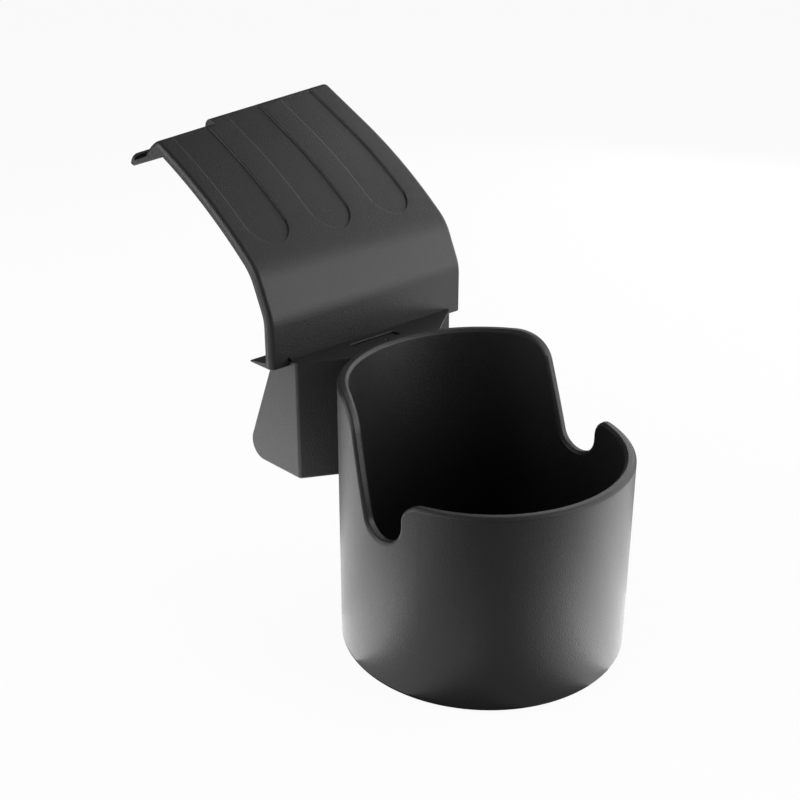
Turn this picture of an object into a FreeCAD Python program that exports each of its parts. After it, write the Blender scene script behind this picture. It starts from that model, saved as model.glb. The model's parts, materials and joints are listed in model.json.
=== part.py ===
import FreeCAD, Part
import math
import os
import Sketcher
from FreeCAD import Vector

# Slide-on cup holder for a car console: a moulded bracket that hooks over the console, and a cup
# whose T-shaped tongue drops into a slot in the bracket. The origin is the centre of the cup's
# underside, +Z is the cup's axis and +Y points from the cup to the console. Lengths are in
# millimetres and angles in degrees.

DRIVING = (
    ("cup_bore_radius", 42.0, "inside of the cup"),
    ("cup_wall", 3.5, "side wall of the cup"),
    ("cup_floor", 3.5, "floor of the cup"),
    ("cup_back_height", 88.0, "rim on the console side"),
    ("cup_front_height", 65.0, "rim on the user's side"),
    ("cup_floor_bevel", 2.5, "inside corner round the floor"),
    ("cup_base_fillet", 2.0, "outside edge round the underside"),
    ("rim_bevel", 0.9, "bevel of the rim's two edges"),
    ("rim_corner_radius", 12.0, "rounded shoulder where the high rim ends"),
    ("rim_lean", 14.9, "lean of the cut below the shoulder, from upright"),
    ("notch_radius", 7.0, "round bottom of the handle notch"),
    ("notch_side", 1.7, "upright side from the notch to the low rim's corner"),
    ("notch_middle", -1.4, "the notch's place along Y"),
    ("lip_radius", 6.0, "rounded corner of the low rim beside the notch"),
    ("shelf_drop", 1.5, "shelf below the cup's high rim"),
    ("shelf_thickness", 2.6, "plate of the shelf"),
    ("cup_gap", 0.5, "bracket's hollow front face to the cup"),
    ("slot_front_wall", 2.6, "wall between that face and the slot's cross bar"),
    ("slot_bar_half", 9.2, "half width of the slot's cross bar"),
    ("slot_bar_depth", 3.8, "depth of the cross bar, along Y"),
    ("slot_neck_half", 3.0, "half width of the slot's neck"),
    ("slot_floor", 4.0, "floor of the slot, which the tongue rests on"),
    ("tongue_side_gap", 0.6, "clearance at the bar's ends"),
    ("tongue_neck_gap", 0.5, "clearance at each side of the neck"),
    ("tongue_face_gap", 0.3, "clearance at the bar's two faces"),
    ("tongue_top_drop", 0.5, "top of the tongue below the shelf"),
    ("tongue_fillet", 0.6, "rounding of the bar's upright edges"),
    ("block_height", 40.5, "block, from the shelf down"),
    ("block_left", -32.5, "left side of the block"),
    ("block_right", 38.3, "right side of the block"),
    ("block_wall", 2.8, "walls, ribs and floor of the block"),
    ("wing_left_reach", 5.6, "left front corner, behind the hollow face's foremost line"),
    ("wing_right_reach", 8.6, "right front corner, likewise"),
    ("wing_left_angle", 28.5, "left wing's turn towards the cup"),
    ("wing_right_angle", 35.5, "right wing's turn towards the cup"),
    ("wing_corner_fillet", 1.4, "rounding of the block's upright front corners"),
    ("block_bottom_fillet", 0.8, "rounding of the block's lower front edge"),
    ("block_back_step", 4.8, "block's back at the shelf, behind the cover's sheet"),
    ("block_back_lean", 22.6, "lean of the block's back from upright"),
    ("block_back_fillet", 6.0, "round lower back corner of the block"),
    ("rib_setback", 1.0, "inner ribs behind the side walls' edges"),
    ("cover_overhang_left", 6.8, "cover beyond the block, on the left"),
    ("cover_overhang_right", 5.5, "cover beyond the block, on the right"),
    ("cover_setback", 2.6, "cover's upright face behind the slot"),
    ("cover_thickness", 3.2, "sheet of the cover"),
    ("cover_upright", 14.6, "upright face, from the shelf to the knee"),
    ("cover_lean_slope", 65.6, "slope of the leaning face"),
    ("cover_lean_length", 16.2, "leaning face, from the knee to the bend"),
    ("cover_near_slope", 39.5, "slope behind the bend"),
    ("cover_near_length", 5.6, "flat stretch from the bend to the long curve"),
    ("cover_curve_radius", 195.0, "radius of the long curve"),
    ("cover_far_slope", 26.5, "slope where the long curve ends"),
    ("cover_far_run", 18.8, "from the long curve to the crest at X = 0, along Y"),
    ("knee_radius", 14.0, "outer radius of the soft lower bend"),
    ("bend_radius", 18.0, "outer radius of the main bend"),
    ("foot_fillet", 1.6, "hollow corner from the cover to the shelf"),
    ("edge_fillet", 1.8, "rounding of the cover's long edges"),
    ("flange_depth", 8.1, "bottom flange behind the cover's sheet"),
    ("flange_thickness", 1.9, "bottom flange at the sheet"),
    ("flange_tip", 0.6, "bottom flange at its tip"),
    ("crest_turn", 7.7, "turn of the crest line in plan"),
    ("crest_step", 5.5, "left crest in front of the right one, along Y"),
    ("crest_left_length", 25.0, "length of the left crest, along X"),
    ("crest_radius", 3.5, "rounding of the left crest"),
    ("brow_radius", 15.5, "rounded face that comes down behind the left crest"),
    ("brow_start_slope", 25.0, "downward slope at the top of that face"),
    ("brow_end_slope", 58.0, "downward slope at its foot"),
    ("shoulder_radius", 3.0, "rounding of the right crest, down to an upright face"),
    ("shoulder_drop", 8.0, "that face's foot below the right crest"),
    ("hook_slope", 18.2, "downward slope of the hook's plate"),
    ("hook_plate", 1.8, "thickness of the hook's plate and lip"),
    ("hook_reach", 6.6, "plate beyond the foot of the rounded face"),
    ("hook_lip_height", 3.4, "upturned lip, from the plate's underside"),
    ("hook_heel", 1.5, "rounding under the lip"),
    ("hook_right_inset", 14.0, "right hook plate, from the step of the crest"),
    ("hook_corner_radius", 3.2, "rounded end corners of the lip"),
    ("groove_width", 15.3, "width of the cover's shallow grooves"),
    ("groove_pitch", 25.7, "spacing of the grooves"),
    ("groove_border", 14.3, "middle of the left groove, from the cover's left side"),
    ("groove_inset", 1.4, "rounded lower end of the grooves, behind the long curve's start"),
    ("groove_depth", 0.5, "depth of the grooves"),
)

DRIVEN = (
    ("cup_radius", "cup_bore_radius + cup_wall"),
    ("lip_z", "cup_front_height - lip_radius"),
    ("notch_height", "lip_z - notch_side"),
    ("notch_bottom", "notch_height - notch_radius"),
    ("notch_front", "notch_middle - notch_radius"),
    ("lip_end", "notch_front - lip_radius"),
    ("notch_line_y", "notch_middle + notch_radius * cos(rim_lean)"),
    ("notch_line_z", "notch_height - notch_radius * sin(rim_lean)"),
    ("shoulder_line_z", "cup_back_height - rim_corner_radius * (1 - sin(rim_lean))"),
    ("shoulder_line_y", "notch_line_y + (shoulder_line_z - notch_line_z) * tan(rim_lean)"),
    ("shoulder_y", "shoulder_line_y + rim_corner_radius * cos(rim_lean)"),
    ("shelf_top", "cup_back_height - shelf_drop"),
    ("slot_radius", "cup_radius + cup_gap"),
    ("slot_bar_front", "slot_radius + slot_front_wall"),
    ("slot_bar_back", "slot_bar_front + slot_bar_depth"),
    ("block_bottom", "shelf_top - block_height"),
    ("slot_stop", "block_bottom + slot_floor"),
    ("cover_left", "block_left - cover_overhang_left"),
    ("cover_right", "block_right + cover_overhang_right"),
    ("cover_front", "slot_bar_back + cover_setback"),
    ("cover_back", "cover_front + cover_thickness"),
    ("block_back_top", "cover_back + block_back_step"),
    ("block_back_bottom", "block_back_top + block_height * tan(block_back_lean)"),
    ("block_left_front", "slot_radius + wing_left_reach"),
    ("block_right_front", "slot_radius + wing_right_reach"),
    ("wing_left_along", "block_left * cos(wing_left_angle) - block_left_front * sin(wing_left_angle)"),
    ("wing_left_length", "0 - wing_left_along"
                         " - sqrt(wing_left_along ^ 2 - block_left ^ 2 - block_left_front ^ 2 + slot_radius ^ 2)"),
    ("wing_left_x", "block_left + wing_left_length * cos(wing_left_angle)"),
    ("wing_left_y", "block_left_front - wing_left_length * sin(wing_left_angle)"),
    ("wing_right_along", "0 - block_right * cos(wing_right_angle) - block_right_front * sin(wing_right_angle)"),
    ("wing_right_length", "0 - wing_right_along"
                          " - sqrt(wing_right_along ^ 2 - block_right ^ 2 - block_right_front ^ 2 + slot_radius ^ 2)"),
    ("wing_right_x", "block_right - wing_right_length * cos(wing_right_angle)"),
    ("wing_right_y", "block_right_front - wing_right_length * sin(wing_right_angle)"),
    ("flange_bottom", "shelf_top - flange_thickness"),
    ("knee_z", "shelf_top + cover_upright"),
    ("bend_y", "cover_front + cover_lean_length * cos(cover_lean_slope)"),
    ("bend_z", "knee_z + cover_lean_length * sin(cover_lean_slope)"),
    ("bend_half", "(cover_lean_slope - cover_near_slope) / 2"),
    ("knee_half", "(90 - cover_lean_slope) / 2"),
    ("curve_start_y", "bend_y + cover_near_length * cos(cover_near_slope)"),
    ("curve_start_z", "bend_z + cover_near_length * sin(cover_near_slope)"),
    ("curve_end_y", "curve_start_y + cover_curve_radius * (sin(cover_near_slope) - sin(cover_far_slope))"),
    ("curve_end_z", "curve_start_z + cover_curve_radius * (cos(cover_far_slope) - cos(cover_near_slope))"),
    ("crest_at_middle", "curve_end_y + cover_far_run"),
    ("crest_step_x", "cover_left + crest_left_length"),
    ("crest_rise", "tan(crest_turn) * tan(cover_far_slope)"),
    ("hook_right_x", "crest_step_x + hook_right_inset"),
    ("crest_back", "crest_radius * tan((cover_far_slope + brow_start_slope) / 2)"),
    ("shoulder_back", "shoulder_radius * tan((cover_far_slope + 90) / 2)"),
    ("cover_end_y", "crest_at_middle + cover_right * tan(crest_turn) + crest_step"),
    ("cover_end_z", "curve_end_z + (cover_end_y - curve_end_y) * tan(cover_far_slope)"),
    ("groove_first", "cover_left + groove_border"),
    ("groove_end", "curve_start_y + groove_inset"),
)

ALIASES = {entry[0] for entry in DRIVING} | {entry[0] for entry in DRIVEN}

POINT_SLACK = 0.01
"""Places closer than this are the same point."""

MOSTLY = 0.25
"""Share of a face's direction that counts as facing that way."""


def make_sheet(doc):
    """Put the driving sizes and the ones that follow from them in a spreadsheet."""
    sheet = doc.addObject("Spreadsheet::Sheet", "Sizes")
    row = 1
    for alias, value, note in DRIVING:
        sheet.set("A%d" % row, alias)
        sheet.set("B%d" % row, str(value))
        sheet.set("C%d" % row, note)
        sheet.setAlias("B%d" % row, alias)
        row += 1
    for alias, formula in DRIVEN:
        sheet.set("A%d" % row, alias)
        sheet.setAlias("B%d" % row, alias)
        sheet.set("B%d" % row, "=" + formula)
        row += 1
    doc.recompute()
    return sheet


def bind(expression):
    """Turn an expression in the sheet's own names into one that a feature can use."""
    words = []
    word = ""
    for letter in expression + " ":
        if letter.isalnum() or letter == "_":
            word += letter
            continue
        words.append("Sizes." + word if word in ALIASES else word)
        words.append(letter)
        word = ""
    return "".join(words).strip()


def size(sheet, expression):
    """The present value of an expression in the sheet's names."""
    return float(sheet.evalExpression(bind(expression)))


def origin_plane(body, role):
    """One of a body's own origin planes."""
    for feature in body.Origin.OriginFeatures:
        if feature.Role == role:
            return feature
    raise RuntimeError("no plane " + role)


def new_sketch(body, name, role, offset="0"):
    """A sketch on a body's origin plane, moved along the plane's normal by an expression."""
    sketch = body.newObject("Sketcher::SketchObject", name)
    sketch.AttachmentSupport = [(origin_plane(body, role), "")]
    sketch.MapMode = "FlatFace"
    sketch.setExpression("AttachmentOffset.Base.z", bind(offset))
    return sketch


def hold(sketch, expression, kind, *places):
    """Add a constraint whose value is an expression."""
    value = size(sketch.Document.Sizes, expression)
    number = sketch.addConstraint(Sketcher.Constraint(kind, *places, value))
    sketch.setExpression("Constraints[%d]" % number, bind(expression))


def pin(sketch, geometry, end, across, upward):
    """Fix a point of the sketch at two expressions."""
    hold(sketch, across, "DistanceX", -1, 1, geometry, end)
    hold(sketch, upward, "DistanceY", -1, 1, geometry, end)


def arc_between(start, finish, radius, turn):
    """The arc from start to finish; turn is 1 when it runs anticlockwise and -1 when clockwise."""
    chord = finish - start
    middle = (start + finish) * 0.5
    height = math.sqrt(max(radius * radius - chord.Length * chord.Length / 4, 0))
    normal = Vector(-chord.y, chord.x, 0).normalize()
    centre = middle + normal * height * turn
    first, last = (start, finish) if turn > 0 else (finish, start)
    circle = Part.Circle(centre, Vector(0, 0, 1), radius)
    begin = math.atan2(first.y - centre.y, first.x - centre.x)
    end = math.atan2(last.y - centre.y, last.x - centre.x)
    return Part.ArcOfCircle(circle, begin, end)


def outline(sketch, nodes):
    """Draw one closed outline.

    A node is (across, upward), or (across, upward, radius, turn) when an arc leads to the next.
    A half circle's ends lie level, and its centre's height holds it, because its radius is given
    by its ends already.
    """
    sheet = sketch.Document.Sizes
    points = [Vector(size(sheet, node[0]), size(sheet, node[1]), 0) for node in nodes]
    for number, node in enumerate(nodes):
        start = points[number]
        finish = points[(number + 1) % len(nodes)]
        if len(node) == 2:
            geometry = sketch.addGeometry(Part.LineSegment(start, finish), False)
            ends = (1, 2)
        else:
            radius = size(sheet, node[2])
            geometry = sketch.addGeometry(arc_between(start, finish, radius, node[3]), False)
            ends = (1, 2) if node[3] > 0 else (2, 1)
            if (finish - start).Length < 2 * radius - POINT_SLACK:
                hold(sketch, node[2], "Radius", geometry)
            else:
                hold(sketch, node[1], "DistanceY", -1, 1, geometry, 3)
        pin(sketch, geometry, ends[0], node[0], node[1])
        follower = nodes[(number + 1) % len(nodes)]
        pin(sketch, geometry, ends[1], follower[0], follower[1])


def pad(body, sketch, name, length, direction=None):
    """Raise a sketch along its normal, or along a slanting direction over the same height."""
    feature = body.newObject("PartDesign::Pad", name)
    feature.Profile = sketch
    feature.setExpression("Length", bind(length))
    if direction:
        feature.UseCustomVector = True
        feature.AlongSketchNormal = True
        for axis, expression in zip("xyz", direction):
            feature.setExpression("Direction." + axis, bind(expression))
    return feature


def pocket(body, sketch, name, length=None, upward=False, both=False):
    """Cut a sketch into the body: by a length, or right through."""
    feature = body.newObject("PartDesign::Pocket", name)
    feature.Profile = sketch
    feature.Reversed = upward
    if both:
        feature.Midplane = True
    if length:
        feature.setExpression("Length", bind(length))
    else:
        feature.Type = "ThroughAll"
    return feature


def dress(body, kind, name, wanted):
    """A feature on the edges of the body's last shape that a test picks."""
    body.Document.recompute()
    base = body.Tip
    edges = ["Edge%d" % (n + 1) for n, edge in enumerate(base.Shape.Edges) if wanted(edge)]
    if not edges:
        raise RuntimeError("no edges for " + name)
    feature = body.newObject("PartDesign::" + kind, name)
    feature.Base = (base, edges)
    return feature


def fillet(body, name, radius, wanted):
    """Round the edges that a test picks."""
    dress(body, "Fillet", name, wanted).setExpression("Radius", bind(radius))


def bevel(body, name, breadth, wanted):
    """Bevel the edges that a test picks, at 45 degrees."""
    dress(body, "Chamfer", name, wanted).setExpression("Size", bind(breadth))


def along_x(edge, y, z):
    """Is this a straight edge along X at the given place?"""
    ends = [vertex.Point for vertex in edge.Vertexes]
    if len(ends) != 2 or not isinstance(edge.Curve, Part.Line):
        return False
    return all(abs(p.y - y) < POINT_SLACK and abs(p.z - z) < POINT_SLACK for p in ends)


def at_level(edge, z):
    """Does this edge lie at one height?"""
    return abs(edge.BoundBox.ZMin - z) < POINT_SLACK and abs(edge.BoundBox.ZMax - z) < POINT_SLACK


def along_y(edge, x, y, z):
    """Is this a straight edge along Y from the given place?"""
    ends = [vertex.Point for vertex in edge.Vertexes]
    if len(ends) != 2 or not isinstance(edge.Curve, Part.Line):
        return False
    level = all(abs(p.x - x) < POINT_SLACK and abs(p.z - z) < POINT_SLACK for p in ends)
    return level and min(abs(p.y - y) for p in ends) < POINT_SLACK


def upright(edge, x, y):
    """Is this a straight upright edge at the given place in plan?"""
    ends = [vertex.Point for vertex in edge.Vertexes]
    if len(ends) != 2 or not isinstance(edge.Curve, Part.Line):
        return False
    return all(abs(p.x - x) < POINT_SLACK and abs(p.y - y) < POINT_SLACK for p in ends)


def ring(edge, radius, height):
    """Is this a full circle round the cup's axis?"""
    if not isinstance(edge.Curve, Part.Circle) or abs(edge.Curve.Center.z - height) > POINT_SLACK:
        return False
    return abs(edge.Curve.Radius - radius) < POINT_SLACK


def make_cup(doc, sheet):
    """The cup: a turned wall and floor, the side cut of its rim, and the tongue on its back."""
    body = doc.addObject("PartDesign::Body", "cup")
    section = new_sketch(body, "cup_section", "XZ_Plane")
    outline(section, (
        ("0", "0"),
        ("cup_radius", "0"),
        ("cup_radius", "cup_back_height"),
        ("cup_bore_radius", "cup_back_height"),
        ("cup_bore_radius", "cup_floor"),
        ("0", "cup_floor"),
    ))
    turned = body.newObject("PartDesign::Revolution", "cup_turned")
    turned.Profile = section
    turned.ReferenceAxis = (section, ["V_Axis"])
    turned.Angle = 360
    radius = size(sheet, "cup_radius")
    bore = size(sheet, "cup_bore_radius")
    floor = size(sheet, "cup_floor")
    fillet(body, "cup_base_rounding", "cup_base_fillet", lambda edge: ring(edge, radius, 0))
    bevel(body, "cup_floor_corner", "cup_floor_bevel", lambda edge: ring(edge, bore, floor))
    cut_rim(body)
    lowest = size(sheet, "notch_bottom")
    bevel(body, "rim_edges", "rim_bevel", lambda edge: on_rim(edge, (radius, bore), lowest))
    add_tongue(body, sheet)
    return body


def cut_rim(body):
    """Lower the front of the rim, with a leaning S down each side and a round handle notch."""
    sketch = new_sketch(body, "rim_cut_outline", "YZ_Plane")
    outline(sketch, (
        ("shoulder_y", "cup_back_height", "rim_corner_radius", 1),
        ("shoulder_line_y", "shoulder_line_z"),
        ("notch_line_y", "notch_line_z", "notch_radius", -1),
        ("notch_front", "notch_height"),
        ("notch_front", "lip_z", "lip_radius", 1),
        ("lip_end", "cup_front_height"),
        ("0 - cup_radius - cup_wall", "cup_front_height"),
        ("0 - cup_radius - cup_wall", "cup_back_height + cup_wall"),
        ("shoulder_y", "cup_back_height + cup_wall"),
    ))
    pocket(body, sketch, "rim_cut", both=True)


def on_rim(edge, radii, lowest):
    """Does this edge run along the cup's rim, on its outside or its bore?"""
    first, last = edge.ParameterRange
    for share in (0, 0.5, 1):
        point = edge.valueAt(first + (last - first) * share)
        reach = math.hypot(point.x, point.y)
        if point.z < lowest - POINT_SLACK or min(abs(reach - r) for r in radii) > POINT_SLACK:
            return False
    return True


def add_tongue(body, sheet):
    """The T-shaped tongue: it fills the bracket's slot but for the named clearances."""
    sketch = new_sketch(body, "tongue_outline", "XY_Plane", "slot_stop")
    neck = "slot_neck_half - tongue_neck_gap"
    bar = "slot_bar_half - tongue_side_gap"
    front = "slot_bar_front + tongue_face_gap"
    back = "slot_bar_back - tongue_face_gap"
    root = "cup_radius - cup_wall / 2"
    outline(sketch, (
        (neck, root),
        (neck, front),
        (bar, front),
        (bar, back),
        ("0 - (%s)" % bar, back),
        ("0 - (%s)" % bar, front),
        ("0 - (%s)" % neck, front),
        ("0 - (%s)" % neck, root),
    ))
    pad(body, sketch, "tongue", "shelf_top - tongue_top_drop - slot_stop")
    corners = [(sign * size(sheet, bar), size(sheet, y)) for sign in (-1, 1) for y in (front, back)]
    fillet(body, "tongue_rounding", "tongue_fillet",
           lambda edge: any(upright(edge, x, y) for x, y in corners))


def make_bracket_body(doc, sheet):
    """The bracket without its grooves: block, cover sheet, hooks and slot, in moulding order."""
    body = doc.addObject("PartDesign::Body", "bracket_body")
    add_block(body, sheet)
    hollow_block(body)
    add_cover(body, sheet)
    add_hooks(body)
    round_sides(body, sheet)
    cut_slot(body)
    return body


def add_block(body, sheet):
    """The block under the shelf: winged front round the cup, leaning back with a round corner."""
    plan = new_sketch(body, "block_plan", "XY_Plane", "block_bottom")
    outline(plan, (
        ("block_left", "block_back_bottom"),
        ("block_left", "block_left_front"),
        ("wing_left_x", "wing_left_y", "slot_radius", -1),
        ("wing_right_x", "wing_right_y"),
        ("block_right", "block_right_front"),
        ("block_right", "block_back_bottom"),
    ))
    pad(body, plan, "block", "block_height + foot_fillet")
    side = new_sketch(body, "block_back_outline", "YZ_Plane")
    outline(side, (
        ("block_back_top", "shelf_top"),
        ("block_back_bottom", "block_bottom"),
        ("block_back_bottom + block_wall", "block_bottom"),
        ("block_back_bottom + block_wall", "shelf_top"),
    ))
    pocket(body, side, "block_back", both=True)
    back = size(sheet, "block_back_bottom")
    bottom = size(sheet, "block_bottom")
    fillet(body, "block_back_rounding", "block_back_fillet", lambda edge: along_x(edge, back, bottom))
    corners = [(size(sheet, "block_" + side_name), size(sheet, "block_%s_front" % side_name))
               for side_name in ("left", "right")]
    fillet(body, "wing_rounding", "wing_corner_fillet",
           lambda edge: any(upright(edge, x, y) for x, y in corners))
    front = max(y for x, y in corners)
    fillet(body, "block_bottom_rounding", "block_bottom_fillet",
           lambda edge: at_level(edge, bottom) and edge.BoundBox.YMax < front + POINT_SLACK)
    level_block(body)


def level_block(body):
    """Cut the block down to the shelf, and leave a hollow round where the cover will stand."""
    sketch = new_sketch(body, "shelf_outline", "YZ_Plane")
    middle = "cover_front + cover_thickness / 2"
    above = "shelf_top + foot_fillet"
    outline(sketch, (
        ("0", "shelf_top"),
        ("cover_front - foot_fillet", "shelf_top", "foot_fillet", 1),
        ("cover_front", above),
        (middle, above),
        (middle, "shelf_top"),
        ("block_back_bottom + block_wall", "shelf_top"),
        ("block_back_bottom + block_wall", above + " + foot_fillet"),
        ("0", above + " + foot_fillet"),
    ))
    pocket(body, sketch, "shelf_level", both=True)


def hollow_block(body):
    """Core the block from the console side, leaving the slot's housing and two ribs behind it."""
    housing = "slot_bar_half + block_wall"
    housing_back = "slot_bar_back + block_wall"
    beyond = "block_back_bottom + block_wall"
    inner = "slot_radius + block_wall"
    sketch = new_sketch(body, "core_plan", "XY_Plane", "block_bottom + block_wall")
    for side, sign in (("left", -1), ("right", 1)):
        end = "wing_%s_%%s * (%s) / slot_radius" % (side, inner)
        edge = "%d * (%s)" % (sign, housing)
        outer = "block_%s %s block_wall" % (side, "+" if sign < 0 else "-")
        front = "block_%s_front + block_wall / 2" % side
        curve_y = "sqrt((%s) ^ 2 - (%s) ^ 2)" % (inner, housing)
        outline(sketch, (
            (edge, beyond),
            (edge, curve_y, inner, -sign),
            (end % "x", end % "y"),
            (outer, front),
            (outer, beyond),
        ))
    rib = "slot_bar_half"
    outline(sketch, (
        ("0 - " + rib, beyond),
        ("0 - " + rib, housing_back),
        (rib, housing_back),
        (rib, beyond),
    ))
    pocket(body, sketch, "block_cores",
           "block_height - shelf_thickness - block_wall", upward=True)
    set_ribs_back(body)


def set_ribs_back(body):
    """End the ribs and the slot's housing a little inside the side walls' slanted edges."""
    sketch = new_sketch(body, "rib_back_outline", "YZ_Plane", "block_left + block_wall")
    lower = "block_bottom + block_wall"
    upper = "shelf_top - shelf_thickness"
    lower_y = "block_back_top + (shelf_top - (%s)) * tan(block_back_lean)" % lower
    upper_y = "block_back_top + (shelf_top - (%s)) * tan(block_back_lean)" % upper
    outline(sketch, (
        ("%s - rib_setback" % lower_y, lower),
        ("%s + block_wall" % lower_y, lower),
        ("%s + block_wall" % upper_y, upper),
        ("%s - rib_setback" % upper_y, upper),
    ))
    pocket(body, sketch, "rib_backs", "block_right - block_left - 2 * block_wall", upward=True)


def cover_nodes(depth, upright_end):
    """Places down the cover's section at a depth below its outer face, from the far end inwards."""
    half_bend = "(%s) / cos(bend_half)" % depth
    half_knee = "(%s) / cos(knee_half)" % depth
    bend_turn = "(cover_lean_slope + cover_near_slope) / 2"
    knee_turn = "(cover_lean_slope + 90) / 2"
    far_y = "cover_end_y + (%s) * sin(cover_far_slope)" % depth
    far_z = "cover_end_z - (%s) * cos(cover_far_slope)" % depth
    curve = "cover_curve_radius - (%s)" % depth
    return [
        (far_y, far_z),
        ("curve_end_y + (%s) * sin(cover_far_slope)" % depth,
         "curve_end_z - (%s) * cos(cover_far_slope)" % depth, curve, 1),
        ("curve_start_y + (%s) * sin(cover_near_slope)" % depth,
         "curve_start_z - (%s) * cos(cover_near_slope)" % depth),
        ("bend_y + %s * sin(%s)" % (half_bend, bend_turn), "bend_z - %s * cos(%s)" % (half_bend, bend_turn)),
        ("cover_front + %s * sin(%s)" % (half_knee, knee_turn),
         "knee_z - %s * cos(%s)" % (half_knee, knee_turn)),
        ("cover_front + (%s)" % depth, upright_end),
    ]


def add_cover(body, sheet):
    """The cover: one sheet from the crest down over two bends, with a thin flange at its foot."""
    section = new_sketch(body, "cover_section", "YZ_Plane", "cover_left")
    outer = cover_nodes("0", "flange_bottom")
    inner = cover_nodes("cover_thickness", "shelf_top")
    inner.reverse()
    # Read the other way, the arc leaves from its lower end and turns clockwise.
    lower, upper = inner[3], inner[4]
    inner[3] = (lower[0], lower[1], upper[2], -1)
    inner[4] = (upper[0], upper[1])
    outline(section, outer + [
        ("cover_back + flange_depth", "flange_bottom"),
        ("cover_back + flange_depth", "flange_bottom + flange_tip"),
    ] + inner)
    pad(body, section, "cover", "cover_right - cover_left")
    round_bend(body, sheet, "bend", "bend_radius", 3)
    round_bend(body, sheet, "knee", "knee_radius", 4)
    trim = new_sketch(body, "crest_plan", "XY_Plane")
    outline(trim, crest_plan())
    pocket(body, trim, "crest_trim", upward=True)


def round_bend(body, sheet, name, radius, place):
    """Round a bend of the sheet outside and inside, so that its thickness stays the same."""
    for side, depth, bound in (("outer", "0", radius), ("inner", "cover_thickness", radius + " - cover_thickness")):
        node = cover_nodes(depth, "shelf_top")[place]
        y = size(sheet, node[0])
        z = size(sheet, node[1])
        fillet(body, "%s_%s" % (name, side), bound, lambda edge: along_x(edge, y, z))


def round_sides(body, sheet):
    """Round the cover's two ends along its outer face, from the foot over the crest."""
    ends = [(size(sheet, x), size(sheet, hook_nodes(x, left)["foot"][0]))
            for x, left in (("cover_left", True), ("cover_right", False))]
    foot = size(sheet, "flange_bottom")
    knee = size(sheet, "knee_z")
    body.Document.recompute()
    solid = body.Tip.Shape

    def wanted(edge):
        box = edge.BoundBox
        if box.ZMin < foot - POINT_SLACK or box.ZLength < POINT_SLACK:
            return False
        if not any(max(abs(box.XMin - x), abs(box.XMax - x)) < POINT_SLACK and box.YMax < y + POINT_SLACK
                   for x, y in ends):
            return False
        for face in solid.ancestorsOfType(edge, Part.Face):
            across, along = face.Surface.parameter(edge.CenterOfMass)
            normal = face.normalAt(across, along)
            above = normal.z > MOSTLY and (normal.y < 0 or box.ZMin > knee)
            if abs(normal.x) < MOSTLY and (above or normal.y < -1 + MOSTLY and normal.z > -POINT_SLACK):
                return True
        return False

    fillet(body, "cover_sides", "edge_fillet", wanted)


def crest_line(x, left):
    """Where the sheet's flat top ends along Y, as an expression, at a place along X."""
    back = "crest_back" if left else "shoulder_back"
    line = "crest_at_middle - %s * cos(cover_far_slope) + (%s) * tan(crest_turn)" % (back, x)
    return line + " - crest_step" if left else line


def crest_plan():
    """What is cut off the sheet in plan, beyond the stepped and slanting crest."""
    left_edge = "cover_left - cover_thickness"
    right_edge = "cover_right + cover_thickness"
    beyond = "cover_end_y + cover_thickness * 2"
    return (
        (left_edge, crest_line(left_edge, True)),
        ("crest_step_x", crest_line("crest_step_x", True)),
        ("crest_step_x", crest_line("crest_step_x", False)),
        (right_edge, crest_line(right_edge, False)),
        (right_edge, beyond),
        (left_edge, beyond),
    )


def hook_nodes(x, left):
    """Places round the section of crest and hook at a place along X."""
    line = "crest_at_middle + (%s) * tan(crest_turn)%s" % (x, " - crest_step" if left else "")
    crest_y = "(%s)" % line
    crest_z = "(curve_end_z + (%s - curve_end_y) * tan(cover_far_slope))" % crest_y
    if left:
        back = "crest_back"
        turn_y = "%s + crest_back * cos(brow_start_slope)" % crest_y
        turn_z = "%s - crest_back * sin(brow_start_slope)" % crest_z
        foot_y = "%s + brow_radius * (sin(brow_end_slope) - sin(brow_start_slope))" % turn_y
        foot_z = "%s - brow_radius * (cos(brow_start_slope) - cos(brow_end_slope))" % turn_z
    else:
        back = "shoulder_back"
        turn_y = foot_y = crest_y
        turn_z = "%s - shoulder_back" % crest_z
        foot_z = "%s - shoulder_drop" % crest_z
    start_y = "%s - %s * cos(cover_far_slope)" % (crest_y, back)
    start_z = "%s - %s * sin(cover_far_slope)" % (crest_z, back)
    lip_y = "%s + hook_reach" % foot_y
    under_z = "%s - hook_plate / cos(hook_slope)" % foot_z
    root_y = "%s - cover_thickness * sin(cover_far_slope)" % crest_y
    return {
        "start": (start_y, start_z),
        "turn": (turn_y, turn_z),
        "foot": (foot_y, foot_z),
        "under": (foot_y, under_z),
        "root": (root_y, "%s + (%s - (%s)) * tan(hook_slope)" % (under_z, foot_y, root_y)),
        "inner": ("%s - cover_thickness / 2" % start_y, "%s - cover_thickness / 2" % start_z),
        "plate_end": (lip_y, "%s - hook_reach * tan(hook_slope)" % foot_z),
        "lip_inner": (lip_y, "%s - hook_reach * tan(hook_slope) + hook_lip_height" % under_z),
        "lip_outer": ("%s + hook_plate" % lip_y,
                      "%s - hook_reach * tan(hook_slope) + hook_lip_height" % under_z),
        "heel_outer": ("%s + hook_plate" % lip_y,
                       "%s - (hook_reach + hook_plate) * tan(hook_slope) + hook_heel" % under_z),
        "heel_inner": ("%s + hook_plate - hook_heel" % lip_y,
                       "%s - (hook_reach + hook_plate - hook_heel) * tan(hook_slope)" % under_z),
    }


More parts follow.
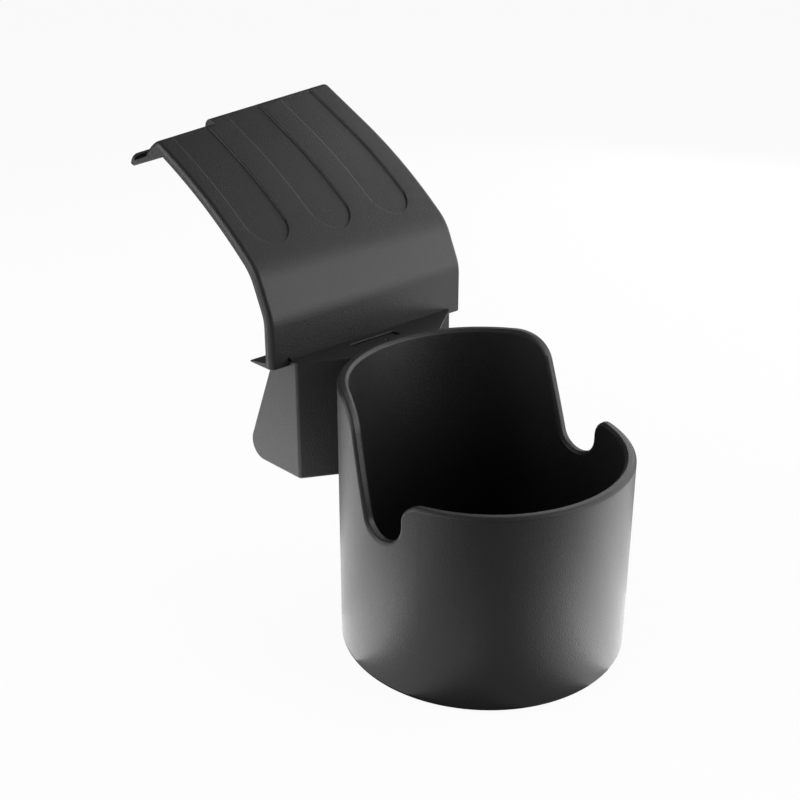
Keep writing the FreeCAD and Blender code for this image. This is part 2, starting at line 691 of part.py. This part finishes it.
def add_hooks(body):
    """The rounded crest in two lengths, the left one in front, with a lipped plate behind each."""
    slant = ("1", "tan(crest_turn)", "crest_rise")
    lengths = (("left", "cover_left", "cover_left", "crest_step_x", True),
               ("right", "crest_step_x", "hook_right_x", "cover_right", False))
    for name, start, hook_start, finish, left in lengths:
        nodes = hook_nodes(start, left)
        crest = new_sketch(body, "crest_%s_section" % name, "YZ_Plane", start)
        outline(crest, (
            nodes["start"] + ("crest_radius" if left else "shoulder_radius", -1),
            nodes["turn"] + (("brow_radius", -1) if left else ()),
            nodes["foot"],
            nodes["under"],
            nodes["root"],
            nodes["inner"],
        ))
        pad(body, crest, "crest_" + name, "%s - (%s)" % (finish, start), slant)
        nodes = hook_nodes(hook_start, left)
        hook = new_sketch(body, "hook_%s_section" % name, "YZ_Plane", hook_start)
        outline(hook, (
            nodes["foot"],
            nodes["plate_end"],
            nodes["lip_inner"],
            nodes["lip_outer"],
            nodes["heel_outer"] + ("hook_heel", -1),
            nodes["heel_inner"],
            nodes["root"],
        ))
        pad(body, hook, "hook_" + name, "%s - (%s)" % (finish, hook_start), slant)
    round_lip(body, "left", "cover_left", 1)
    round_lip(body, "right", "cover_right", -1)


def round_lip(body, name, end, inwards):
    """Round an end corner of the upturned lip; inwards is the way along X from that end."""
    outer = hook_nodes(end, inwards > 0)["lip_outer"]
    sketch = new_sketch(body, "lip_%s_outline" % name, "XZ_Plane", "0 - (%s)" % outer[0])
    inner = "%s + %d * hook_corner_radius" % (end, inwards)
    beyond = "%s - %d * hook_plate" % (end, inwards)
    top = "%s + %d * hook_corner_radius * crest_rise" % (outer[1], inwards)
    outline(sketch, (
        (end, top + " - hook_corner_radius", "hook_corner_radius", -inwards),
        (inner, top),
        (inner, top + " + hook_plate"),
        (beyond, top + " + hook_plate"),
        (beyond, top + " - hook_corner_radius"),
    ))
    feature = pocket(body, sketch, "lip_%s_corner" % name, "4 * hook_plate")
    feature.Midplane = True


def cut_slot(body):
    """Sink the T-shaped slot from the shelf to its stop."""
    sketch = new_sketch(body, "slot_outline", "XY_Plane", "slot_stop")
    mouth = "slot_radius - block_wall"
    outline(sketch, (
        ("slot_neck_half", mouth),
        ("slot_neck_half", "slot_bar_front"),
        ("slot_bar_half", "slot_bar_front"),
        ("slot_bar_half", "slot_bar_back"),
        ("0 - slot_bar_half", "slot_bar_back"),
        ("0 - slot_bar_half", "slot_bar_front"),
        ("0 - slot_neck_half", "slot_bar_front"),
        ("0 - slot_neck_half", mouth),
    ))
    pocket(body, sketch, "slot", "block_height - slot_floor + foot_fillet", upward=True)


def make_groove_tool(doc, sheet):
    """The space taken by the grooves: a skin on the cover's outer face, in three rounded strips."""
    skin = doc.addObject("PartDesign::Body", "groove_skin")
    section = new_sketch(skin, "groove_section", "YZ_Plane", "cover_left")
    lower = cover_nodes("groove_depth", "shelf_top")[:4]
    rise = "cover_thickness"
    outline(section, lower + [
        (lower[3][0], lower[3][1] + " + " + rise),
        (lower[2][0], lower[2][1] + " + " + rise),
        (lower[0][0], lower[0][1] + " + 2 * " + rise),
    ])
    pad(skin, section, "groove_layer", "cover_right - cover_left")
    strips = doc.addObject("PartDesign::Body", "groove_strips")
    plan = new_sketch(strips, "groove_plan", "XY_Plane", "knee_z")
    half = "groove_width / 2"
    for number in range(3):
        middle = "groove_first + %d * groove_pitch" % number
        outline(plan, (
            ("%s - %s" % (middle, half), "cover_end_y + groove_width"),
            ("%s - %s" % (middle, half), "groove_end + " + half, half, 1),
            ("%s + %s" % (middle, half), "groove_end + " + half),
            ("%s + %s" % (middle, half), "cover_end_y + groove_width"),
        ))
    pad(strips, plan, "groove_columns", "cover_end_z")
    tool = doc.addObject("Part::MultiCommon", "grooves")
    tool.Shapes = [skin, strips]
    return tool


def make_bracket(doc, sheet):
    """The finished bracket: the moulded body less the grooves."""
    body = make_bracket_body(doc, sheet)
    tool = make_groove_tool(doc, sheet)
    bracket = doc.addObject("Part::Cut", "bracket")
    bracket.Base = body
    bracket.Tool = tool
    bracket.Refine = True
    return bracket


def check(doc, pieces):
    """Stop if anything failed to build."""
    for item in doc.Objects:
        if "Invalid" in item.State or "Error" in item.State:
            raise RuntimeError("%s did not build: %s" % (item.Name, item.State))
    for piece in pieces:
        if piece.Shape.isNull() or not piece.Shape.isValid():
            raise RuntimeError("%s has no valid shape" % piece.Label)
        if len(piece.Shape.Solids) != 1:
            raise RuntimeError("%s has %d solids" % (piece.Label, len(piece.Shape.Solids)))


def main():
    doc = FreeCAD.newDocument("cup_holder")
    sheet = make_sheet(doc)
    pieces = [make_cup(doc, sheet), make_bracket(doc, sheet)]
    doc.recompute()
    check(doc, pieces)
    os.makedirs("parts", exist_ok=True)
    for piece in pieces:
        piece.Shape.exportStep("parts/%s.step" % piece.Label)
        box = piece.Shape.BoundBox
        print("%s: volume %.0f mm3, box %.1f %.1f %.1f to %.1f %.1f %.1f" % (
            piece.Label, piece.Shape.Volume, box.XMin, box.YMin, box.ZMin, box.XMax, box.YMax, box.ZMax))


main()
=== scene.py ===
import json
import math

import bmesh
import bpy
from bpy.props import FloatProperty, FloatVectorProperty, IntProperty, PointerProperty
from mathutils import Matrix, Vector

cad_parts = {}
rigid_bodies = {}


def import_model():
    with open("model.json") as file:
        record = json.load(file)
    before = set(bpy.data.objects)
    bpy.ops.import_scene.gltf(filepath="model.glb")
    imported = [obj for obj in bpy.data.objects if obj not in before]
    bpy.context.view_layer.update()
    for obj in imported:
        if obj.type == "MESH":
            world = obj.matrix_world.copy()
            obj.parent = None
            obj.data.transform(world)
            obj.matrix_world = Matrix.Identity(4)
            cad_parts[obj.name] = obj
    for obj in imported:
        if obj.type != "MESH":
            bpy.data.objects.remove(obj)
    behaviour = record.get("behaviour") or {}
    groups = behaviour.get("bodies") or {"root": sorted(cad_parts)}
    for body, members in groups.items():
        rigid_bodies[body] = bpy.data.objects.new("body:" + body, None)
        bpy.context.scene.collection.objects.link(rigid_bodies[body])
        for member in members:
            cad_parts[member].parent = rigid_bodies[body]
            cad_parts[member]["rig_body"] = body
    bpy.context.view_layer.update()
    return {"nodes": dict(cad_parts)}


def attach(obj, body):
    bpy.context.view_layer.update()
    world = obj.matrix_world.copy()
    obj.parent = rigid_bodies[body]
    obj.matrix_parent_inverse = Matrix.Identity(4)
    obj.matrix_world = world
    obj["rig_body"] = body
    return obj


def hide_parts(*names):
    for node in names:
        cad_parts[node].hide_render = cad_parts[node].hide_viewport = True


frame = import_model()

# A slide-on cup holder of two black mouldings: a cup with a cut-down front, and a bracket with a
# grooved cover and a rear hook. Lengths are in metres and angles in radians unless a comment says
# otherwise. The origin is the centre of the cup's underside, and +Y points to the console.

bl_info = {
    "name": "Console cup holder",
    "version": (1, 0, 0),
    "blender": (4, 5, 0),
    "location": "3D View > Sidebar > Cup holder",
    "description": "Finishes the cup and the bracket and lights them for a studio picture",
    "category": "Object",
}

MILLIMETRE = 0.001

# In a CAD node's copy, corners within this gap are joined, and faces that meet at less than this
# angle become one.
MERGE_GAP = 0.001 * MILLIMETRE
FLAT_ANGLE = math.radians(0.2)

# The cover's grooves lie between these two values of y and above this height. An upper rim joins
# an upright wall, whose normal hardly rises, to the cover, whose normal rises by more than this.
GROOVES_START = 0.066
GROOVES_END = 0.127
COVER_LEVEL = 0.115
UPRIGHT_RISE = 0.05
COVER_RISE = 0.6

# The rear step of the crest ends on this plane across X, behind this y and above this height.
STEP_X, STEP_Y, STEP_Z = -0.0143, 0.1140, 0.1435
STEP_REACH = 0.2 * MILLIMETRE

# Shelf and cover meet at this y and z. The solid's hollow there has this radius, and the points
# at the hollow's two ends, which stay, lie within the gap.
FOOT_CORNER = (0.0550, 0.0865)
FOOT_RADIUS = 1.6 * MILLIMETRE
FOOT_GAP = 0.005 * MILLIMETRE

# The plastic's index of refraction, how far its black and its roughness stray, and its grain. A pit
# of the grain spans this band of the noise, and the slow patches repeat this often in one metre.
PLASTIC_IOR = 1.49
TONE_LOW, TONE_HIGH = 0.85, 1.15
ROUGHNESS_BELOW, ROUGHNESS_ABOVE = 0.03, 0.05
PIT_DETAIL, PIT_ROUGHNESS, PIT_BAND = 3.0, 0.55, (0.3, 0.7)
PATCH_DETAIL, PATCHES_PER_METRE = 2.0, 38.0

# The floor lies a hair below the cup's underside, so that the two faces never share one plane.
FLOOR_DROP = 0.02 * MILLIMETRE

# The camera's frame in millimetres, and the nearest and farthest distance that it sees.
CAMERA_FRAME = 36.0
CAMERA_RANGE = (0.01, 50.0)

# Soft panels that stand round the object and face this point: name, turn from +Y towards +X and rise,
# both in degrees, distance, sides and radiance.
LIT_POINT = Vector((0.0, 0.03, 0.07))
FAR, NEAR = 1.3, 0.65
LARGE, STRIP = (0.8, 0.8), (0.3, 0.5)
STANDING_PANELS = (
    ("high_back_panel", 45.0, 62.0, FAR, LARGE, 0.290),
    ("low_front_panel", 135.0, 8.0, FAR, LARGE, 2.278),
    ("high_front_panel", 135.0, 62.0, FAR, LARGE, 0.888),
    ("right_strip_a", 67.5, 20.0, NEAR, STRIP, 2.298),
    ("right_strip_b", 90.0, 20.0, NEAR, STRIP, 1.186),
    ("right_strip_c", 112.5, 20.0, NEAR, STRIP, 2.162),
    ("right_strip_d", 157.5, 20.0, NEAR, STRIP, 3.064),
    ("left_strip_a", 270.0, 20.0, NEAR, STRIP, 2.515),
    ("left_strip_b", 292.5, 20.0, NEAR, STRIP, 2.364),
    ("left_strip_c", 315.0, 20.0, NEAR, STRIP, 2.918),
)

# Narrow panels that lie on the table and shine up: name, turn of the near end on the cup's outside,
# turn of the panel, both as above, and radiance. They overlap, so each lies a step above the last.
CUP_RADIUS = 0.0455
TABLE_SIDES = (0.10, 0.50)
TABLE_STEP = 0.4 * MILLIMETRE
LYING_PANELS = (
    ("table_right", 165.0, 103.0, 2.400),
    ("table_front_right", 180.0, 133.0, 1.240),
    ("table_front", 210.0, 193.0, 0.198),
    ("table_front_left", 255.0, 283.0, 0.754),
    ("table_left", 285.0, 343.0, 2.400),
)


class MouldingSettings(bpy.types.PropertyGroup):
    """Edges and plastic of the two mouldings."""

    edge_width: FloatProperty(
        name="Edge width", description="Width of the small rounding on every outer edge",
        default=0.28 * MILLIMETRE, min=0.0, subtype="DISTANCE", unit="LENGTH",
    )
    groove_edge_width: FloatProperty(
        name="Groove edge width", description="Width of the rounding on the cover's groove rims",
        default=0.42 * MILLIMETRE, min=0.0, subtype="DISTANCE", unit="LENGTH",
    )
    step_edge_width: FloatProperty(
        name="Step edge width", description="Width of the rounding on the end of the crest's rear step",
        default=0.45 * MILLIMETRE, min=0.0, subtype="DISTANCE", unit="LENGTH",
    )
    edge_angle: FloatProperty(
        name="Edge angle", description="Outer edges turned by more than this angle are rounded",
        default=math.radians(34.0), subtype="ANGLE", unit="ROTATION",
    )
    edge_segments: IntProperty(
        name="Edge segments", description="Facets across that rounding", default=2, min=1, max=4,
    )
    smooth_angle: FloatProperty(
        name="Smooth angle", description="Faces that meet at less than this angle are shaded as one",
        default=math.radians(50.0), subtype="ANGLE", unit="ROTATION",
    )
    colour: FloatVectorProperty(
        name="Colour", description="Black of the plastic", subtype="COLOR", size=3,
        default=(0.0105, 0.0105, 0.0110), min=0.0, max=1.0,
    )
    roughness: FloatProperty(
        name="Roughness", description="Mean roughness of the satin surface", default=0.42,
        min=0.0, max=1.0, subtype="FACTOR",
    )
    grain_size: FloatProperty(
        name="Grain size", description="Breadth of one pit of the eroded texture",
        default=0.46 * MILLIMETRE, subtype="DISTANCE", unit="LENGTH",
    )
    grain_depth: FloatProperty(
        name="Grain depth", description="Depth of the eroded texture",
        default=0.042 * MILLIMETRE, subtype="DISTANCE", unit="LENGTH",
    )


class StudioSettings(bpy.types.PropertyGroup):
    """Camera, floor and lights."""

    camera_place: FloatVectorProperty(
        name="Camera place", description="Where the camera stands", size=3, subtype="TRANSLATION",
        default=(-0.26602, -0.24630, 0.23852), unit="LENGTH",
    )
    camera_elevation: FloatProperty(
        name="Camera elevation", description="How far the camera looks down",
        default=math.radians(23.562), subtype="ANGLE", unit="ROTATION",
    )
    camera_azimuth: FloatProperty(
        name="Camera azimuth", description="The camera's turn about the vertical from looking along +Y",
        default=math.radians(-43.0), subtype="ANGLE", unit="ROTATION",
    )
    camera_lens: FloatProperty(
        name="Lens", description="Focal length in millimetres on a 36 mm frame", default=58.81,
        min=10.0,
    )
    floor_size: FloatProperty(
        name="Floor size", description="Side of the square floor", default=8.0, subtype="DISTANCE",
        unit="LENGTH",
    )
    floor_grey: FloatProperty(
        name="Floor grey", description="Reflectance of the floor as the camera sees it", default=0.86,
        min=0.0, max=1.0, subtype="FACTOR",
    )
    floor_bounce: FloatProperty(
        name="Floor bounce", description="Reflectance of the floor as the object sees it", default=0.20,
        min=0.0, max=1.0, subtype="FACTOR",
    )
    floor_white: FloatProperty(
        name="Floor white", description="Share of plain white in the floor as the camera sees it",
        default=0.94, min=0.0, max=1.0, subtype="FACTOR",
    )
    world_level: FloatProperty(
        name="Room level", description="Brightness of the room round the object", default=0.10, min=0.0,
    )


def select_only(piece):
    """Make one object the only selected and the active one."""
    bpy.ops.object.select_all(action="DESELECT")
    piece.select_set(True)
    bpy.context.view_layer.objects.active = piece


def merged_copy(node, name):
    """A copy of a CAD node with its triangles joined and its flat faces made whole."""
    piece = bpy.data.objects.new(name, frame["nodes"][node].data.copy())
    bpy.context.scene.collection.objects.link(piece)
    select_only(piece)
    bpy.ops.object.mode_set(mode="EDIT")
    bpy.ops.mesh.select_all(action="SELECT")
    bpy.ops.mesh.remove_doubles(threshold=MERGE_GAP)
    bpy.ops.mesh.dissolve_limited(angle_limit=FLAT_ANGLE)
    bpy.ops.mesh.customdata_custom_splitnormals_clear()
    bpy.ops.object.mode_set(mode="OBJECT")
    return piece


def widest_rounding(settings):
    """The width that an edge of full weight gets from the Bevel modifier."""
    return max(settings.edge_width, settings.groove_edge_width, settings.step_edge_width)


def on_groove_rim(edge, middle):
    """Whether an edge is the upper rim of a groove in the cover."""
    rises = sorted(abs(face.normal.z) for face in edge.link_faces)
    on_cover = GROOVES_START < middle.y < GROOVES_END and middle.z > COVER_LEVEL
    return on_cover and rises[0] < UPRIGHT_RISE and rises[1] > COVER_RISE


def on_step_end(middle):
    """Whether a point lies on the end of the crest's rear step."""
    return abs(middle.x - STEP_X) < STEP_REACH and middle.y > STEP_Y and middle.z > STEP_Z


def mark_edges(piece, settings):
    """Give each outer edge its share of the widest rounding."""
    widest = widest_rounding(settings)
    shape = bmesh.new()
    shape.from_mesh(piece.data)
    share = shape.edges.layers.float.new("bevel_weight_edge")
    for edge in shape.edges:
        if len(edge.link_faces) != 2 or not edge.is_convex:
            continue
        if edge.calc_face_angle(0.0) < settings.edge_angle:
            continue
        middle = (edge.verts[0].co + edge.verts[1].co) / 2
        width = settings.edge_width
        if on_groove_rim(edge, middle):
            width = settings.groove_edge_width
        elif on_step_end(middle):
            width = settings.step_edge_width
        edge[share] = width / widest
    shape.to_mesh(piece.data)
    shape.free()


def square_foot(piece):
    """Take the narrow hollow between shelf and cover down to a plain corner, on the bracket."""
    near, far = FOOT_GAP, FOOT_RADIUS - FOOT_GAP
    shape = bmesh.new()
    shape.from_mesh(piece.data)
    for side in (-1, 1):
        arc = []
        for point in shape.verts:
            height, depth = point.co.z - FOOT_CORNER[1], FOOT_CORNER[0] - point.co.y
            if point.co.x * side > 0 and near < height < far and near < depth < far:
                arc.append(point)
        across = max(abs(point.co.x) for point in arc) * side
        bmesh.ops.pointmerge(shape, verts=arc, merge_co=(across, *FOOT_CORNER))
    shape.to_mesh(piece.data)
    shape.free()


def smooth_piece(node, name, settings, reshape=None):
    """A merged copy of a CAD node, reshaped if need be, with rounded edges and smooth shading."""
    piece = merged_copy(node, name)
    if reshape:
        reshape(piece)
    mark_edges(piece, settings)
    rounding = piece.modifiers.new("small edges", "BEVEL")
    rounding.width = widest_rounding(settings)
    rounding.segments = settings.edge_segments
    rounding.limit_method = "WEIGHT"
    # Clamping would narrow every edge to what the tightest spot allows.
    rounding.use_clamp_overlap = False
    rounding.loop_slide = False
    bpy.ops.object.modifier_apply(modifier=rounding.name)
    bpy.ops.object.shade_smooth_by_angle(angle=settings.smooth_angle)
    weights = piece.modifiers.new("face normals", "WEIGHTED_NORMAL")
    weights.keep_sharp = True
    bpy.ops.object.modifier_apply(modifier=weights.name)
    return piece


def finish_piece(piece, node, material):
    """Give a piece its plastic, and let it stand for its CAD node on that node's body."""
    piece.data.materials.clear()
    piece.data.materials.append(material)
    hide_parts(node)
    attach(piece, frame["nodes"][node]["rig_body"])


def add_node(tree, kind, place, **values):
    """A shader node at a place in its tree, with its unlinked inputs set."""
    node = tree.nodes.new(kind)
    node.location = place
    for socket, value in values.items():
        node.inputs[socket.replace("_", " ")].default_value = value
    return node


def grain_group():
    """Eroded mould grain: a height from 0 to 1 and a slow change from patch to patch."""
    name = "eroded grain"
    if name in bpy.data.node_groups:
        return bpy.data.node_groups[name]
    group = bpy.data.node_groups.new(name, "ShaderNodeTree")
    group.interface.new_socket("Size", in_out="INPUT", socket_type="NodeSocketFloat")
    group.interface.new_socket("Height", in_out="OUTPUT", socket_type="NodeSocketFloat")
    group.interface.new_socket("Patch", in_out="OUTPUT", socket_type="NodeSocketFloat")
    start = add_node(group, "NodeGroupInput", (-800, 0))
    end = add_node(group, "NodeGroupOutput", (600, 0))
    place = add_node(group, "ShaderNodeTexCoord", (-800, -200))
    repeat = add_node(group, "ShaderNodeMath", (-600, 0))
    repeat.operation = "DIVIDE"
    repeat.inputs[0].default_value = 1.0
    group.links.new(start.outputs["Size"], repeat.inputs[1])
    pits = add_node(group, "ShaderNodeTexNoise", (-400, 100), Detail=PIT_DETAIL, Roughness=PIT_ROUGHNESS)
    patches = add_node(group, "ShaderNodeTexNoise", (-400, -200), Scale=PATCHES_PER_METRE)
    patches.inputs["Detail"].default_value = PATCH_DETAIL
    group.links.new(place.outputs["Object"], pits.inputs["Vector"])
    group.links.new(place.outputs["Object"], patches.inputs["Vector"])
    group.links.new(repeat.outputs[0], pits.inputs["Scale"])
    height = add_node(group, "ShaderNodeMapRange", (-100, 100))
    height.inputs["From Min"].default_value, height.inputs["From Max"].default_value = PIT_BAND
    group.links.new(pits.outputs["Fac"], height.inputs["Value"])
    group.links.new(height.outputs["Result"], end.inputs["Height"])
    group.links.new(patches.outputs["Fac"], end.inputs["Patch"])
    return group


def plastic(name, settings):
    """Black satin plastic with an eroded grain and a little variation in its gloss."""
    material = bpy.data.materials.new(name)
    material.use_nodes = True
    tree = material.node_tree
    shader = tree.nodes["Principled BSDF"]
    shader.location = (400, 0)
    shader.inputs["IOR"].default_value = PLASTIC_IOR
    shader.inputs["Metallic"].default_value = 0.0
    grain = tree.nodes.new("ShaderNodeGroup")
    grain.node_tree = grain_group()
    grain.location = (-600, 0)
    grain.inputs["Size"].default_value = settings.grain_size
    tone = add_node(tree, "ShaderNodeMix", (0, 200))
    tone.data_type = "RGBA"
    tone.inputs["A"].default_value = (*[part * TONE_LOW for part in settings.colour], 1.0)
    tone.inputs["B"].default_value = (*[part * TONE_HIGH for part in settings.colour], 1.0)
    tree.links.new(grain.outputs["Patch"], tone.inputs["Factor"])
    tree.links.new(tone.outputs["Result"], shader.inputs["Base Color"])
    gloss = add_node(tree, "ShaderNodeMapRange", (0, -50))
    gloss.inputs["To Min"].default_value = settings.roughness - ROUGHNESS_BELOW
    gloss.inputs["To Max"].default_value = settings.roughness + ROUGHNESS_ABOVE
    tree.links.new(grain.outputs["Height"], gloss.inputs["Value"])
    tree.links.new(gloss.outputs["Result"], shader.inputs["Roughness"])
    bump = add_node(tree, "ShaderNodeBump", (0, -350), Strength=1.0, Distance=settings.grain_depth)
    tree.links.new(grain.outputs["Height"], bump.inputs["Height"])
    tree.links.new(bump.outputs["Normal"], shader.inputs["Normal"])
    return material


class HOLDER_OT_cup(bpy.types.Operator):
    """Finish the cup: smooth walls, rounded rim and notches, black plastic"""

    bl_idname = "holder.cup"
    bl_label = "Cup"

    def execute(self, context):
        settings = context.scene.holder_moulding
        piece = smooth_piece("cup", "cup_moulding", settings)
        finish_piece(piece, "cup", plastic("cup plastic", settings))
        return {"FINISHED"}


class HOLDER_OT_bracket(bpy.types.Operator):
    """Finish the bracket: smooth cover, grooves, hook and block, black plastic"""

    bl_idname = "holder.bracket"
    bl_label = "Bracket"

    def execute(self, context):
        settings = context.scene.holder_moulding
        piece = smooth_piece("bracket", "bracket_moulding", settings, square_foot)
        finish_piece(piece, "bracket", plastic("bracket plastic", settings))
        return {"FINISHED"}


def white_to_camera(tree, shader, share):
    """Mix a share of plain white into a shader for the camera's rays, and return the mix."""
    path = add_node(tree, "ShaderNodeLightPath", (-600, 300))
    seen = add_node(tree, "ShaderNodeMath", (-400, 300))
    seen.operation = "MULTIPLY"
    seen.inputs[1].default_value = share
    tree.links.new(path.outputs["Is Camera Ray"], seen.inputs[0])
    white = add_node(tree, "ShaderNodeEmission", (-400, -100), Color=(1.0, 1.0, 1.0, 1.0), Strength=1.0)
    mix = add_node(tree, "ShaderNodeMixShader", (0, 100))
    tree.links.new(seen.outputs[0], mix.inputs[0])
    tree.links.new(shader.outputs[0], mix.inputs[1])
    tree.links.new(white.outputs[0], mix.inputs[2])
    return mix


class HOLDER_OT_floor(bpy.types.Operator):
    """Lay the plain white floor"""

    bl_idname = "holder.floor"
    bl_label = "Floor"

    def execute(self, context):
        settings = context.scene.holder_studio
        bpy.ops.object.select_all(action="DESELECT")
        bpy.ops.mesh.primitive_plane_add(size=settings.floor_size, location=(0.0, 0.0, -FLOOR_DROP))
        floor = context.active_object
        floor.name = "studio_floor"
        material = bpy.data.materials.new("studio white")
        material.use_nodes = True
        tree = material.node_tree
        shader = tree.nodes["Principled BSDF"]
        shader.inputs["Roughness"].default_value = 1.0
        shader.inputs["Specular IOR Level"].default_value = 0.0
        path = add_node(tree, "ShaderNodeLightPath", (-600, -300))
        grey = add_node(tree, "ShaderNodeMix", (-400, -300))
        grey.data_type = "RGBA"
        grey.inputs["A"].default_value = (*[settings.floor_bounce] * 3, 1.0)
        grey.inputs["B"].default_value = (*[settings.floor_grey] * 3, 1.0)
        tree.links.new(path.outputs["Is Camera Ray"], grey.inputs["Factor"])
        tree.links.new(grey.outputs["Result"], shader.inputs["Base Color"])
        mix = white_to_camera(tree, shader, settings.floor_white)
        tree.links.new(mix.outputs[0], tree.nodes["Material Output"].inputs["Surface"])
        floor.data.materials.append(material)
        return {"FINISHED"}


def soft_panel(name, place, facing, sides, glow):
    """A soft light panel of a given radiance, turned so, that isn't seen itself."""
    bpy.ops.object.select_all(action="DESELECT")
    bpy.ops.object.light_add(type="AREA", location=place)
    lamp = bpy.context.active_object
    lamp.name = name
    lamp.data.shape = "RECTANGLE"
    lamp.data.size, lamp.data.size_y = sides
    lamp.data.energy = glow * math.pi * sides[0] * sides[1]
    lamp.rotation_euler = facing
    lamp.visible_camera = False


def standing_panel(name, turn, rise, distance, sides, glow):
    """A soft panel that stands round the object and faces it."""
    turn, rise = math.radians(turn), math.radians(rise)
    across = math.cos(rise) * distance
    offset = Vector((math.sin(turn) * across, math.cos(turn) * across, math.sin(rise) * distance))
    facing = (-offset).to_track_quat("-Z", "Y").to_euler()
    soft_panel(name, LIT_POINT + offset, facing, sides, glow)


def lying_panel(level, name, cup_turn, turn, glow):
    """A narrow soft panel that lies on the table, runs away from the cup and shines up."""
    cup_turn, turn = math.radians(cup_turn), math.radians(turn)
    end = Vector((math.sin(cup_turn), math.cos(cup_turn), 0.0)) * CUP_RADIUS
    middle = Vector((math.sin(turn), math.cos(turn), 0.0)) * (TABLE_SIDES[1] / 2)
    place = end + middle + Vector((0.0, 0.0, level))
    soft_panel(name, place, (math.pi, 0.0, -turn), TABLE_SIDES, glow)


class HOLDER_OT_lights(bpy.types.Operator):
    """Set the room and the soft lights"""

    bl_idname = "holder.lights"
    bl_label = "Lights"

    def execute(self, context):
        settings = context.scene.holder_studio
        world = bpy.data.worlds.new("studio room")
        context.scene.world = world
        world.use_nodes = True
        tree = world.node_tree
        room = tree.nodes["Background"]
        room.inputs["Color"].default_value = (1.0, 1.0, 1.0, 1.0)
        room.inputs["Strength"].default_value = settings.world_level
        mix = white_to_camera(tree, room, 1.0)
        tree.links.new(mix.outputs[0], tree.nodes["World Output"].inputs["Surface"])
        for panel in STANDING_PANELS:
            standing_panel(*panel)
        for count, panel in enumerate(LYING_PANELS, start=1):
            lying_panel(count * TABLE_STEP, *panel)
        return {"FINISHED"}


class HOLDER_OT_camera(bpy.types.Operator):
    """Stand the camera at the picture's viewing angle"""

    bl_idname = "holder.camera"
    bl_label = "Camera"

    def execute(self, context):
        settings = context.scene.holder_studio
        bpy.ops.object.select_all(action="DESELECT")
        bpy.ops.object.camera_add(location=settings.camera_place)
        camera = context.active_object
        camera.name = "studio_camera"
        camera.rotation_euler = (math.pi / 2 - settings.camera_elevation, 0.0, settings.camera_azimuth)
        camera.data.sensor_width = CAMERA_FRAME
        camera.data.sensor_fit = "HORIZONTAL"
        camera.data.lens = settings.camera_lens
        camera.data.clip_start, camera.data.clip_end = CAMERA_RANGE
        context.scene.camera = camera
        context.scene.view_settings.view_transform = "Standard"
        return {"FINISHED"}


class HOLDER_PT_panel(bpy.types.Panel):
    """Sidebar panel with the sizes and one button for each piece"""

    bl_idname = "HOLDER_PT_panel"
    bl_label = "Cup holder"
    bl_space_type = "VIEW_3D"
    bl_region_type = "UI"
    bl_category = "Cup holder"

    def draw(self, context):
        layout = self.layout
        for settings in (context.scene.holder_moulding, context.scene.holder_studio):
            box = layout.box()
            for name in settings.bl_rna.properties.keys():
                if name not in ("rna_type", "name"):
                    box.prop(settings, name)
        for operator in OPERATORS:
            layout.operator(operator.bl_idname)


OPERATORS = (HOLDER_OT_cup, HOLDER_OT_bracket, HOLDER_OT_floor, HOLDER_OT_lights, HOLDER_OT_camera)
CLASSES = (MouldingSettings, StudioSettings, *OPERATORS, HOLDER_PT_panel)


def register():
    for entry in CLASSES:
        bpy.utils.register_class(entry)
    bpy.types.Scene.holder_moulding = PointerProperty(type=MouldingSettings)
    bpy.types.Scene.holder_studio = PointerProperty(type=StudioSettings)


def unregister():
    del bpy.types.Scene.holder_studio
    del bpy.types.Scene.holder_moulding
    for entry in reversed(CLASSES):
        bpy.utils.unregister_class(entry)


def main():
    """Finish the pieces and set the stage."""
    register()
    bpy.ops.holder.cup()
    bpy.ops.holder.bracket()
    bpy.ops.holder.floor()
    bpy.ops.holder.lights()
    bpy.ops.holder.camera()


if __name__ == "__main__":
    main()
